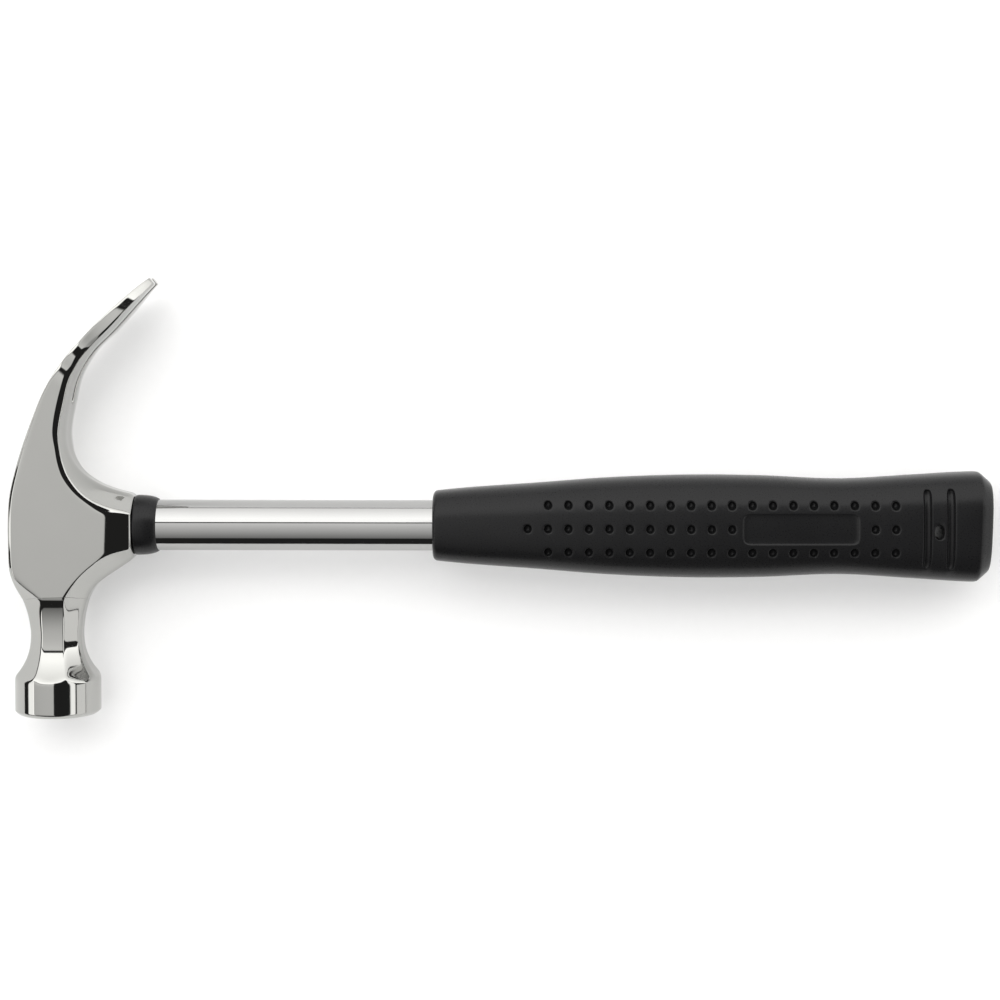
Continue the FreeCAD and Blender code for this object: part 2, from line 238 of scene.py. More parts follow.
def end_grain():
    """Hardwood across the grain: rings about a heart beside the plug, and pores."""
    material, tree, shader, place = nodes_of("hardwood_end_grain")
    centre = tree.nodes.new("ShaderNodeMapping")
    centre.inputs["Location"].default_value = (0, -ORIGIN.y - 0.014, -ORIGIN.z + 0.008)
    tree.links.new(place, centre.inputs["Vector"])
    rings = tree.nodes.new("ShaderNodeTexWave")
    rings.wave_type = "RINGS"
    rings.rings_direction = "X"
    rings.inputs["Scale"].default_value = 210
    rings.inputs["Distortion"].default_value = 2.5
    rings.inputs["Detail"].default_value = 3.0
    tree.links.new(centre.outputs["Vector"], rings.inputs["Vector"])
    colour = blend(tree, rings.outputs["Fac"], (0.20, 0.125, 0.065), (0.29, 0.19, 0.105))
    tree.links.new(colour, shader.inputs["Base Color"])
    pores = noise(tree, place, 0.35, 3.0)
    tree.links.new(ranged(tree, pores, 0.55, 0.8), shader.inputs["Roughness"])
    bumped(tree, shader, pores, 0.4, 0.05)
    return material


def bare_steel():
    """Unplated steel, a little scuffed."""
    material, tree, shader, place = nodes_of("bare_wedge_steel")
    shader.inputs["Metallic"].default_value = 1.0
    scuffs = noise(tree, place, 0.8, 5.0, (1, 1, 0.3))
    tree.links.new(blend(tree, scuffs, (0.30, 0.29, 0.28), (0.5, 0.49, 0.47)), shader.inputs["Base Color"])
    tree.links.new(ranged(tree, scuffs, 0.3, 0.5), shader.inputs["Roughness"])
    bumped(tree, shader, scuffs, 0.2, 0.02)
    return material


def cap_plastic():
    """Dull black plastic with a faint mottle."""
    material, tree, shader, place = nodes_of("moulded_cap_plastic")
    mottle = noise(tree, place, 2.0)
    tree.links.new(blend(tree, mottle, (0.02, 0.02, 0.02), (0.03, 0.03, 0.03)), shader.inputs["Base Color"])
    tree.links.new(ranged(tree, mottle, 0.45, 0.6), shader.inputs["Roughness"])
    return material


def dress(node, material):
    """Give a CAD node that stays a finish of its own."""
    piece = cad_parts[node]
    piece.data.materials.clear()
    piece.data.materials.append(material)


dress("eye_plug", end_grain())
dress("ring_wedge", bare_steel())
dress("butt_plug", cap_plastic())
print("seven finishes are ready")

# %% [markdown]
# ## The rubber grip: a ring of strips
#
# The real grip is one rubber moulding. It swells to a palm swell, narrows, and flares again
# to stop the hand from sliding off. Its sections are soft rectangles, wide across Y and
# thinner across Z. The mesh is a flat grid rolled into such sections. On the two broad faces
# the grid lines run straight along the handle, so that the dimples, the blank label recess
# and the cross grooves fall on whole squares, and insets make them.

# %% Sections of the grip
SWELL = 0.8  # the ring wedge opens the end of the tube by this much
SLANT_ROOM = 0.44  # the slanted butt reaches this far past its middle
GRIP_X = (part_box("grip_sleeve")[0].x - ORIGIN.x) / MM
TUBE_R = (tube_high.z - tube_low.z) / 2 / MM - SWELL
GRIP_SHAPE = [
    # share of the length, height and thickness over the tube's radius
    (0.00, 3.05, 2.65),
    (0.07, 4.25, 3.35),
    (0.18, 5.65, 4.45),
    (0.32, 7.55, 5.25),
    (0.46, 8.45, 5.60),
    (0.59, 8.25, 5.45),
    (0.73, 7.25, 4.95),
    (0.86, 8.50, 5.15),
    (0.95, 9.50, 5.60),
    (1.00, 9.70, 5.60),
]
PITCH = 6.43  # between dimples
FIRST_DIMPLE = 151.4
STRIP = 1.85  # between grid lines on the broad faces
FACE_LINES = 11
SIDE_STEPS = 8
BUTT_SLANT = 0.03
SLANT_FROM = 286
SLANT_LENGTH = 8
BUTT_X -= SLANT_ROOM


def grip_half(x):
    """Half height, half thickness and squareness of the grip at x."""
    share = (x - GRIP_X) / (BUTT_X - GRIP_X)
    height, thickness = fair(GRIP_SHAPE, share)
    return TUBE_R + height, TUBE_R + thickness, 0.82 - 0.16 * min(max(share, 0), 1) ** 4


def grip_z(x, y, shrink=0.0):
    """Height of the upper skin over the middle plane at x, y."""
    half_y, half_z, power = grip_half(x)
    return (half_z - shrink) * (1 - (abs(y) / (half_y - shrink)) ** (2 / power)) ** (power / 2)


def grip_point(x, line, shrink):
    """A place on the skin. Lines 0 to 10 cross the upper face, and the rest go on round."""
    half_y, half_z, power = grip_half(x)
    edge = STRIP * (FACE_LINES - 1) / 2
    start = math.acos((edge / half_y) ** (1 / power))
    half_ring = FACE_LINES - 1 + SIDE_STEPS
    side = -1 if line % (2 * half_ring) >= half_ring else 1
    line %= half_ring
    if line < FACE_LINES:
        y = (edge - STRIP * line) * (half_y - shrink) / half_y
        return Vector((side * y, side * grip_z(x, y, shrink)))
    turn = math.pi - start + 2 * start * (line - FACE_LINES + 1) / SIDE_STEPS
    y = (half_y - shrink) * math.copysign(abs(math.cos(turn)) ** power, math.cos(turn))
    z = (half_z - shrink) * math.copysign(abs(math.sin(turn)) ** power, math.sin(turn))
    return Vector((side * y, side * z))


print(f"grip {GRIP_X:.1f} to {BUTT_X:.1f} mm over a tube of radius {TUBE_R:.2f} mm")

# %% [markdown]
# The grid's columns stand a quarter of the dimple pitch apart. Near the mouth and the butt
# they follow the rounded edge and the bevel, and each one says how far it shrinks there.

# %% Columns of the grip
MOUTH_ROUND = 1.4
GROOVES = ((275.7, 278.5), (283.0, 285.8))
HOLE_X = 280.75
HOLE_COLUMNS = (HOLE_X - 1.6, HOLE_X, HOLE_X + 1.6)
BUTT_DETAIL = (275.7, 277.1, 278.5, *HOLE_COLUMNS, 283.0, 284.4, 285.8, 287.6, 289.8, 292.0)
DRAWN_BUTT = 298.0
BUTT_BEVEL = ((293.9, 0.0), (294.4, 0.2), (296.1, 1.75), (297.6, 3.05), (298.0, 3.6))

columns = []
for degrees in (0, 35, 65, 90):
    turn = math.radians(degrees)
    columns.append((GRIP_X + MOUTH_ROUND * (1 - math.cos(turn)), MOUTH_ROUND * (1 - math.sin(turn))))
quarter = PITCH / 4
QUARTERS_BEFORE = 17  # from the rounded mouth to the first dimple
x = FIRST_DIMPLE - QUARTERS_BEFORE * quarter
while x < BUTT_DETAIL[0] - quarter / 2:
    columns.append((x, 0.0))
    x += quarter
for x in BUTT_DETAIL:
    columns.append((x, 0.0))
for x, shrink in BUTT_BEVEL:
    columns.append((x + BUTT_X - DRAWN_BUTT, shrink))
print(f"{len(columns)} columns")

# %% [markdown]
# `create_grid` gives the flat net, and each of its vertices is put on the skin. The mouth and
# the butt are closed by extruding their open loops inwards, as one would with E and S.

# %% Roll the net into the grip
def loop_at(bm, x, reach=1.0):
    """The open edges of a mesh near x."""
    found = []
    for edge in bm.edges:
        middle = (edge.verts[0].co.x + edge.verts[1].co.x) / 2
        if edge.is_boundary and abs((middle - ORIGIN.x) / MM - x) < reach:
            found.append(edge)
    return found


def extruded_loop(bm, edges, place):
    """Extrude an open loop and put each new vertex where place() says."""
    made = bmesh.ops.extrude_edge_only(bm, edges=edges)["geom"]
    for vert in made:
        if isinstance(vert, bmesh.types.BMVert):
            vert.co = place(vert.co)
    return [edge for edge in made if isinstance(edge, bmesh.types.BMEdge)]


def on_tube(x, radius):
    """A rule that draws a loop in to a circle round the shaft at x."""
    def place(co):
        y, z = co.y - ORIGIN.y, co.z - ORIGIN.z
        size = math.hypot(y, z)
        return at(x, y / size * radius, z / size * radius)
    return place


ring = 2 * (FACE_LINES - 1 + SIDE_STEPS)
grip = bmesh.new()
bmesh.ops.create_grid(grip, x_segments=len(columns) - 1, y_segments=ring, size=0.5)
net = {}
for vert in grip.verts:
    column = round((vert.co.x + 0.5) * (len(columns) - 1))
    line = round((vert.co.y + 0.5) * ring) - SIDE_STEPS // 2
    x, shrink = columns[column]
    y, z = grip_point(x, line, shrink)
    slant = BUTT_SLANT * y * min(max((x - SLANT_FROM) / SLANT_LENGTH, 0), 1)
    vert.co = at(x + slant, y, z)
    net[column, line] = vert
bmesh.ops.remove_doubles(grip, verts=grip.verts, dist=0.01 * MM)
mouth = loop_at(grip, GRIP_X)
for depth, over_tube in ((0, 0.9), (0.4, 0.12), (3, 0.12)):
    mouth = extruded_loop(grip, mouth, on_tube(GRIP_X + depth, TUBE_R + over_tube))
bmesh.ops.contextual_create(grip, geom=mouth)
butt = bmesh.ops.contextual_create(grip, geom=loop_at(grip, BUTT_X, 1.2))["faces"]
for wide in (0.8, 4):
    bmesh.ops.inset_region(grip, faces=butt, thickness=wide * MM, use_even_offset=True)
print(f"{len(grip.faces)} faces in the net")

# %% [markdown]
# ## Dimples, label recess, grooves and the hanging hole
#
# Each dimple takes the two by two squares round a crossing of the net. Their outer ring is
# drawn to a circle, inset, and the middle is pushed in. All dimples are inset in one call.
# The recess for a label stays blank. Grooves are inset the same way, and the hanging hole
# joins the upper and the lower face with a bridge.

# %% Dimples and recesses
DIMPLE_R = 1.6
DIMPLE_DEPTH = 2.4
DIMPLE_COLUMNS = 19
DIMPLE_LINES = (1, 5, 9)
RIM = 0.12  # the strip that keeps a pushed-in edge crisp
LABEL_X = (218.8, 256.4)
LABEL_LINES = (3, 7)
LABEL_HALF = 5.0
LABEL_DEPTH = 0.45
LABEL_CORNER = 1.6
GROOVE_LINES = (-1, 11)
GROOVE_DEPTH = 1.5


def nearest_column(x):
    """The number of the column that stands nearest to x."""
    return min(range(len(columns)), key=lambda c: abs(columns[c][0] - x))


def drawn_ring(column, line, half_x, half_y, shift=0.0):
    """Draw the eight vertices round a crossing to an ellipse. Returns the four squares."""
    centre = net[column, line]
    middle_x = columns[column][0]
    middle_y = (centre.co.y - ORIGIN.y) / MM + shift
    side = math.copysign(1, centre.co.z - ORIGIN.z)
    ring_verts = set()
    for face in centre.link_faces:
        ring_verts.update(face.verts)
    ring_verts.discard(centre)
    for vert in ring_verts:
        dx = (vert.co.x - centre.co.x) / MM
        dy = (vert.co.y - centre.co.y) / MM
        turn = math.atan2(dy * half_x, dx * half_y)
        x = middle_x + half_x * math.cos(turn)
        y = middle_y + half_y * math.sin(turn)
        vert.co = at(x, y, side * grip_z(x, y))
    centre.co = at(middle_x, middle_y, side * grip_z(middle_x, middle_y))
    return list(centre.link_faces)


def pushed_in(faces, wall, depth):
    """Inset faces twice, the first time for a crisp rim, and move them towards the middle plane."""
    for wide in (RIM, wall):
        bmesh.ops.inset_region(grip, faces=faces, thickness=wide * MM, use_even_offset=True)
    verts = {vert for face in faces for vert in face.verts}
    for vert in verts:
        vert.co.z -= math.copysign(depth * MM, vert.co.z - ORIGIN.z)


dimples = []
half_ring = ring // 2
for number in range(DIMPLE_COLUMNS):
    x = FIRST_DIMPLE + PITCH * number
    column = nearest_column(x)
    for line in DIMPLE_LINES:
        middle = line == DIMPLE_LINES[1]
        beside_label = LABEL_X[0] - 2 < x < LABEL_X[1] + 2
        if (middle and beside_label) or (not middle and number == 0):
            continue
        for under in (0, half_ring):
            dimples += drawn_ring(column, line + under, DIMPLE_R, DIMPLE_R)
pushed_in(dimples, RIM, DIMPLE_DEPTH)
print(f"{len(dimples) // 4} dimples")


def patch(first_x, last_x, first_line, last_line, under):
    """The squares of the net between two columns and two lines."""
    first = nearest_column(first_x)
    last = nearest_column(last_x)
    faces = []
    for column in range(first, last):
        for line in range(first_line, last_line):
            near = set(net[column, line + under].link_faces)
            near &= set(net[column + 1, line + 1 + under].link_faces)
            faces += near
    return faces


for under in (0, half_ring):
    for column in range(nearest_column(LABEL_X[0]), nearest_column(LABEL_X[1]) + 1):
        for line in LABEL_LINES:
            vert = net[column, line + under]
            side = math.copysign(1, vert.co.z - ORIGIN.z)
            x = columns[column][0]
            from_end = min(x - LABEL_X[0], LABEL_X[1] - x)
            half = LABEL_HALF - 0.7 * max(LABEL_CORNER - from_end, 0)
            y = math.copysign(half, vert.co.y - ORIGIN.y)
            vert.co = at(x, y, side * grip_z(x, y))
    pushed_in(patch(*LABEL_X, *LABEL_LINES, under), 0.3, LABEL_DEPTH)
    for groove in GROOVES:
        pushed_in(patch(*groove, *GROOVE_LINES, under), 0.2, GROOVE_DEPTH)
print("label recess and grooves are in")

# %% [markdown]
# On the real grip the small hanging hole goes right through, between the two grooves. Its two
# rims are drawn to ovals, their squares are removed, and a bridge makes the wall, which is
# what Bridge Edge Loops does by hand.

# %% The hanging hole
HOLE_HALF = (1.75, 2.75)
HOLE_OFF_MIDDLE = -0.9
rims = []
for under in (0, half_ring):
    squares = drawn_ring(nearest_column(HOLE_X), DIMPLE_LINES[1] + under, *HOLE_HALF, HOLE_OFF_MIDDLE)
    bmesh.ops.inset_region(grip, faces=squares, thickness=0.25 * MM, use_even_offset=True)
    edges = {edge for face in squares for edge in face.edges}
    rims += [edge for edge in edges if sum(face in squares for face in edge.link_faces) == 1]
    bmesh.ops.delete(grip, geom=squares, context="FACES")
bmesh.ops.bridge_loops(grip, edges=[edge for edge in rims if edge.is_valid])
finished("rubber_grip", grip, GRIP_RUBBER, "grip_sleeve", 1)

# %% [markdown]
# ## Shaft and collar: turned parts
#
# The shaft is a drawn steel tube, swelled into the eye by the ring wedge, and the collar is
# a turned rubber ring. Each is one profile, spun round the shaft's axis.

# %% Turned pieces
def turned(profile, steps):
    """Spin a closed profile of (x, radius) round the shaft's axis."""
    bm = bmesh.new()
    verts = [bm.verts.new(at(x, radius, 0)) for x, radius in profile]
    for first, second in zip(verts, verts[1:] + verts[:1]):
        bm.edges.new((first, second))
    bmesh.ops.spin(
        bm,
        geom=list(bm.verts) + list(bm.edges),
        cent=ORIGIN,
        axis=(1, 0, 0),
        angle=math.tau,
        steps=steps,
        use_merge=True,
    )
    return bm


TUBE_WALL = 1.4
SWELL_LENGTH = 9
TUBE_END = (tube_high.x - ORIGIN.x) / MM
TUBE_START = (tube_low.x - ORIGIN.x) / MM
shaft_profile = [
    (TUBE_START + 0.3, TUBE_R + SWELL),
    (TUBE_START + SWELL_LENGTH, TUBE_R),
    (TUBE_START + SWELL_LENGTH + 0.4, TUBE_R),
    (TUBE_END, TUBE_R),
    (TUBE_END, TUBE_R - TUBE_WALL),
    (TUBE_START + SWELL_LENGTH, TUBE_R - TUBE_WALL),
    (TUBE_START, TUBE_R + SWELL - TUBE_WALL),
    (TUBE_START, TUBE_R + SWELL - 0.3),
]
tube = turned(shaft_profile, 128)
SHAFT = finished("steel_shaft", tube, SHAFT_CHROME, "shaft_tube")
SHAFT.data.set_sharp_from_angle(angle=math.radians(30))

COLLAR_X = (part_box("neck_collar")[0].x - ORIGIN.x) / MM
COLLAR_R = 9.65
collar_profile = [
    (COLLAR_X, TUBE_R - 0.2),
    (COLLAR_X, COLLAR_R - 0.35),
    (COLLAR_X + 0.35, COLLAR_R),
    (COLLAR_X + 1.2, COLLAR_R),
    (COLLAR_X + 3.6, COLLAR_R - 0.08),
    (COLLAR_X + 5.3, COLLAR_R - 0.35),
    (COLLAR_X + 6.6, COLLAR_R - 0.75),
    (COLLAR_X + 7.3, COLLAR_R - 1.1),
    (COLLAR_X + 7.5, TUBE_R + 0.2),
    (COLLAR_X + 7.4, TUBE_R - 0.2),
]
collar = turned(collar_profile, 96)
finished("rubber_collar", collar, COLLAR_RUBBER, "neck_collar", 1)

# %% [markdown]
# ## The forged head: the lines of its plan
#
# The head is one drop forging: two claws, a flat cheek with the eye through it, a slim neck
# and the round poll. A smith's drawing shows it by a few lines on the side view, and the mesh
# uses the same ones: the back line, the edge of the flat, the line where the flat starts to
# roll over, the crest, and the foot of the bevel under it. `step` runs along the head, from 0
# at the claw tips, and from the eye down it is 100 minus the back line's Y.

# %% Lines of the head
BACK_LINE = [[
    (0, 31.0, 79.3),
    (3, 29.3, 77.95),
    (10, 24.1, 73.4),
    (20, 16.3, 66.2),
    (30, 8.9, 58.8),
    (40, 2.8, 51.3),
    (50, -2.1, 43.1),
    (60, -5.9, 34.2),
    (70, -9.3, 25.0),
    (80, -11.7, 17.0),
    (90, -13.25, 10.0),
    (96, -13.75, 4.0),
    (107, -13.8, -7.0),
    (112, -13.65, -12.0),
    (116, -13.1, -16.0),
    (120, -11.9, -20.0),
    (124, -10.1, -24.0),
    (129, -8.75, -29.0),
    (134, -8.1, -34.0),
]]
FLAT_EDGE = [[
    (0, 31.2, 79.0),
    (3, 29.5, 77.7),
    (10, 24.3, 73.15),
    (20, 16.55, 65.95),
    (30, 9.2, 58.55),
    (40, 3.15, 51.1),
    (50, -1.65, 42.95),
    (60, -5.1, 34.0),
    (70, -8.0, 24.8),
    (80, -10.2, 16.8),
    (90, -11.6, 10.0),
    (96, -12.1, 4.0),
    (107, -12.15, -7.0),
    (112, -12.05, -12.0),
    (116, -11.6, -15.8),
    (118, -10.4, -17.2),
    (121, -7.2, -19.9),
    (124, -3.6, -22.9),
    (129, -3.45, -28.6),
    (134, -3.36, -34.0),
]]
ROLL_START = [
    [
        (0, 32.1, 77.9),
        (10, 27.0, 71.95),
        (20, 18.7, 63.6),
        (30, 10.8, 56.9),
        (40, 5.6, 49.2),
        (50, 2.7, 40.4),
        (60, 1.1, 31.2),
        (70, 1.9, 24.4),
        (75, 2.6, 19.7),
        (80, 4.0, 15.4),
        (84, 7.6, 10.6),
        (87, 12.7, 6.5),
        (90, 17.7, 3.9),
    ],
    [(90, 17.7, 3.9), (100, 17.7, -2.0), (110.4, 17.2, -8.0)],
    [
        (110.4, 17.2, -8.0),
        (113, 15.4, -10.2),
        (115.6, 12.7, -12.2),
        (118.2, 9.5, -14.9),
        (121, 6.2, -18.6),
        (124, 3.2, -22.9),
        (129, 2.6, -28.8),
        (134, 2.3, -34.0),
    ],
]
CREST = [
    [
        (0, 32.35, 77.5),
        (10, 27.5, 72.2),
        (20, 19.3, 63.2),
        (30, 12.0, 55.9),
        (40, 7.0, 47.9),
        (50, 4.8, 39.6),
        (60, 3.1, 30.6),
        (70, 3.6, 23.8),
        (75, 4.6, 19.7),
        (80, 6.3, 15.7),
        (84, 10.4, 10.5),
        (87, 16.3, 6.9),
        (90, 25.3, 4.5),
    ],
    [(90, 25.4, 4.5), (100, 25.4, -1.2), (110.4, 25.4, -7.0)],
    [
        (110.4, 25.3, -7.0),
        (113, 18.6, -8.6),
        (115.6, 14.9, -11.0),
        (118.2, 11.0, -14.0),
        (121, 7.5, -17.9),
        (124, 4.6, -22.8),
        (129, 3.7, -28.8),
        (134, 3.36, -34.0),
    ],
]
BEVEL_FOOT = [
    [
        (0, 32.6, 77.2),
        (10, 27.8, 72.1),
        (20, 19.6, 62.95),
        (30, 12.3, 55.6),
        (40, 7.5, 47.6),
        (50, 5.3, 39.2),
        (60, 3.95, 30.2),
        (70, 4.6, 24.1),
        (75, 6.3, 20.2),
        (80, 9.4, 16.5),
        (84, 14.4, 13.3),
        (87, 19.8, 11.3),
        (90, 25.3, 10.0),
    ],
    [(90, 25.4, 9.8), (100, 25.4, 0.0), (110.4, 25.4, -10.2)],
    [
        (110.4, 25.3, -10.4),
        (113, 21.6, -13.0),
        (115.6, 17.6, -15.6),
        (118.2, 13.8, -18.3),
        (121, 11.4, -21.1),
        (124, 10.0, -24.0),
        (129, 8.7, -29.0),
        (134, 8.1, -34.0),
    ],
]


def on_line(line, step):
    """The place on one of the head's lines. A line has several stretches where it has corners."""
    for stretch in line:
        if step <= stretch[-1][0]:
            break
    x, y = fair(stretch, step)
    return Vector((x, y))


claw_tip = on_line(BACK_LINE, 0)
print(f"the claws reach {claw_tip.y:.1f} mm over the shaft's axis")

# %% [markdown]
# ## The head's heights
#
# Seen from the front, the cheek is 23 mm thick. The claws nearly keep that thickness, with two
# shallow hollows where they leave the cheek, and grow thinner towards their tips. The neck is
# eight-sided and 16.2 mm across, and its flats swell into the round poll. The claws part at a
# V-shaped slot for nail heads.

# %% Heights of the head
CHEEK = 11.5
WAIST = 8.1
WAIST_Y = -34.0
POLL_STEP = 100 - WAIST_Y  # from here on the sections are octagons
NECK_Y = -22.9
POLL_R = 13.75
POLL_OVERRUN = 1.25
POLL_TOP_Y = -50.4
OCTAGON = math.tan(math.pi / 8)
SLOT_ROOT = 50.5
SLOT_END_R = 1.2
SLOT_TIP_HALF = 4.5
MOUTH_STEPS = (90, 110.4)  # where the eye's mouth is straight
TOP_OF_SIDE = [
    (0, 5.3),
    (1, 6.0),
    (3, 7.2),
    (5, 8.2),
    (8, 9.5),
    (12, 10.6),
    (16, 11.25),
    (20, 11.5),
    (24, 11.25),
    (28, 10.35),
    (29.5, 10.1),
    (31, 10.3),
    (34, 10.85),
    (37, 10.9),
    (38.5, 10.75),
    (41, 11.2),
    (44, 11.5),
    (47, 11.5),
    (134, 11.5),
]
WALL_TOP = [
    (0, 11.0),
    (50, 11.0),
    (60, 10.7),
    (75, 10.3),
    (113, 10.3),
    (118, 8.5),
    (124, 5.6),
    (134, 3.36),
]
FOOT_HEIGHT = [
    (0, 5.0),
    (20, 5.4),
    (50, 5.0),
    (74, 4.4),
    (82, 3.6),
    (118, 3.6),
    (126, 3.7),
    (134, 3.36),
]
ROLL_DROP = [
    (0, 0.2),
    (20, 0.3),
    (36, 0.4),
    (45, 0.7),
    (70, 0.6),
    (76, 0.4),
    (81, 0.36),
    (85, 0.36),
    (87, 0.5),
    (90, 1.5),
    (110.4, 1.5),
    (114, 0.4),
    (124, 0.15),
    (134, 0.0),
]


def slot_half(step):
    """Half the width of the nail slot, which ends in a round."""
    taper = min(step / (SLOT_ROOT - SLOT_END_R), 1)
    width = SLOT_TIP_HALF - (SLOT_TIP_HALF - SLOT_END_R) * taper
    left = SLOT_ROOT - step
    if left <= 0:
        return 0.0
    return min(width, math.sqrt(max(SLOT_END_R ** 2 - max(SLOT_END_R - left, 0) ** 2, 0)))


def side_height(step, y):
    """Height of the flat over the middle plane."""
    if y > NECK_Y:
        return fair(TOP_OF_SIDE, min(step, 100))[0]
    up = (WAIST_Y - y) / (WAIST_Y - NECK_Y)
    return WAIST + (CHEEK - WAIST) * max(up, 0) ** 2.2


def poll_half(y):
    """Half the thickness of the octagonal neck, which flares into the poll."""
    down = min(max((WAIST_Y - y) / (WAIST_Y - POLL_TOP_Y), 0), 1)
    return WAIST + (POLL_R + POLL_OVERRUN - WAIST) * down ** 2.6


print(f"{2 * poll_half(WAIST_Y):.1f} mm thick at the waist, {2 * POLL_R:.1f} mm at the poll")

# %% [markdown]
# ## One rib of the head
#
# A rib is half a cross-section: up the back wall, over the back bevel, across the flat, over
# the roll and the crest, down the bevel and down the inner wall. Two vertices stand close to
# each corner, so that a level of subdivision leaves a small, even radius there, as polishing
# does.

# %% Ribs
ROUND = 0.4  # from a corner to the vertices beside it
FOOT_ROUND = 0.8
WALL_STEPS = 6
FLAT_STEPS = 9
ROLL_SHARES = (0.25, 0.5, 0.75)
ROLL_POWER = 1.25  # over 1, the flat rolls off slowly at first
CLAWS_END = 60
WALL_UNDER_SIDE = 0.4  # the claws' thin sides keep a bevel of this height at least


def between(start, end, near_start, near_end, steps):
    """Points from start to end that stand off the two corners by the given distances."""
    length = (end - start).length
    most = 0.3  # of the length, where the stretch is short
    first = min(near_start / length, most)
    last = 1 - min(near_end / length, most)
    return [start.lerp(end, first + (last - first) * k / steps) for k in range(steps + 1)]


def rib(step):
    """Points of the half section at a step, in drawing millimetres."""
    if step > POLL_STEP:
        y = 100 - step
        half = poll_half(y)
        parts = (-1, -OCTAGON, 0.3, OCTAGON, 1)
        back, edge_, roll, crest, foot = (Vector((half * part, y)) for part in parts)
        wall_top = foot_height = half * OCTAGON
        tops = [half, half, half]
        drop = 0.0
    else:
        back, edge_, roll, crest, foot = (
            on_line(line, step) for line in (BACK_LINE, FLAT_EDGE, ROLL_START, CREST, BEVEL_FOOT)
        )
        wall_top = fair(WALL_TOP, step)[0]
        if step < CLAWS_END:
            wall_top = min(wall_top, side_height(step, edge_.y) - WALL_UNDER_SIDE)
        foot_height = fair(FOOT_HEIGHT, step)[0]
        tops = [side_height(step, edge_.y), side_height(step, roll.y), side_height(step, crest.y)]
        drop = fair(ROLL_DROP, step)[0]
    low = slot_half(step)
    base = Vector((*back, low))
    wall = Vector((*back, wall_top))
    flat = Vector((*edge_, tops[0]))
    soft = Vector((*roll, tops[1]))
    crisp = Vector((*crest, tops[2] - drop))
    bevel = Vector((*foot, foot_height))
    inner = Vector((*foot, low))
    points = between(base, wall, 0, ROUND, WALL_STEPS)
    points += between(wall, flat, ROUND, ROUND, 5)
    across = between(flat, soft, ROUND, 0, FLAT_STEPS)
    if step <= POLL_STEP:
        for point in across:
            point.z = side_height(step, point.y)
    points += across
    straight = MOUTH_STEPS[0] < step < MOUTH_STEPS[1]
    for share in (*ROLL_SHARES, 1 - min(ROUND / (crisp - soft).length, 0.2)):
        point = soft.lerp(crisp, share)
        if not straight:
            point.z = soft.z + (crisp.z - soft.z) * share ** ROLL_POWER
        points.append(point)
    points += between(crisp, bevel, ROUND, FOOT_ROUND, 5)
    points += between(bevel, inner, FOOT_ROUND, 0, 4)
    for point in points:
        size = math.hypot(point.x, point.z)
        if step > POLL_STEP and size > POLL_R:
            point.x *= POLL_R / size
            point.z *= POLL_R / size
    return points


def march(steps, last, apart):
    """Add evenly spaced steps until one passes the last."""
    while steps[-1] < last:
        steps.append(steps[-1] + apart)


EYE_STEP = 92
EYE_ROWS = 10
EYE_SQUARE = 1.6
steps = [0, 0.7, 1.6, 3.0]
march(steps, 48, 1.5)
steps += [SLOT_ROOT - SLOT_END_R, SLOT_ROOT - 0.8, SLOT_ROOT - 0.3, SLOT_ROOT, SLOT_ROOT + 0.6]
march(steps, 87, 1.4)
steps += [88.6, 89.5, 90.4, 91.2]
steps += [EYE_STEP + EYE_SQUARE * k for k in range(EYE_ROWS + 1)]
steps += [109, 110, 110.9, 112]
march(steps, 122.4, 1.3)
steps += [123.4, 123.8, 124.2, 125]
march(steps, 157, 1.1)
FACE_STEP = 100 - FACE_Y
FACE_CHAMFER = 1.3
steps += [FACE_STEP - FACE_CHAMFER - 0.8, FACE_STEP - FACE_CHAMFER - 0.3]
ribs = [rib(step) for step in steps]
print(f"{len(ribs)} ribs of {len(ribs[0])} points")

# %% [markdown]
# The ribs are laid on a grid, the slot's wall on a second one, and the half is mirrored. The
# eye is cut out of whole squares, whose outer ring is drawn to a circle first. The eye and the
# poll's face are closed by extruding their loops inwards, and the claw tips by a face and an
# inset.

# %% Build the head
EYE_R = 8.95


def laid(bm, rows):
    """A grid whose vertices take the places of rows of points."""
    wide = len(rows[0]) - 1
    long = len(rows) - 1
    made = bmesh.ops.create_grid(bm, x_segments=wide, y_segments=long, size=0.5)["verts"]
    placed = {}
    for vert in made:
        column = round((vert.co.x + 0.5) * wide)
        row = round((vert.co.y + 0.5) * long)
        vert.co = at(*rows[row][column])
        placed[row, column] = vert
    return placed


head = bmesh.new()
shell = laid(head, ribs)
slot_rows = []
for step, points in zip(steps, ribs):
    if step <= SLOT_ROOT:
        slot_rows.append([points[-1].lerp(points[0], k / 5) for k in range(6)])
laid(head, slot_rows)
bmesh.ops.remove_doubles(head, verts=head.verts, dist=0.005 * MM)

eye_faces = []
first_row = steps.index(EYE_STEP)
last_row = first_row + EYE_ROWS
eye_columns = WALL_STEPS - 1
for row in range(first_row, last_row + 1):
    for column in range(eye_columns + 1):
        vert = shell[row, column]
        if row in (first_row, last_row) or column == eye_columns:
            y, z = 100 - steps[row], column * EYE_SQUARE
            size = math.hypot(y, z)
            vert.co = at(-BACK, y / size * EYE_R, z / size * EYE_R)
        if row < last_row and column < eye_columns:
            eye_faces += set(vert.link_faces) & set(shell[row + 1, column + 1].link_faces)
bmesh.ops.delete(head, geom=eye_faces, context="FACES")

copy = bmesh.ops.duplicate(head, geom=list(head.verts) + list(head.edges) + list(head.faces))["geom"]
under_side = [item for item in copy if isinstance(item, bmesh.types.BMVert)]
bmesh.ops.scale(head, vec=(1, 1, -1), space=Matrix.Translation(-ORIGIN), verts=under_side)
bmesh.ops.remove_doubles(head, verts=head.verts, dist=0.005 * MM)


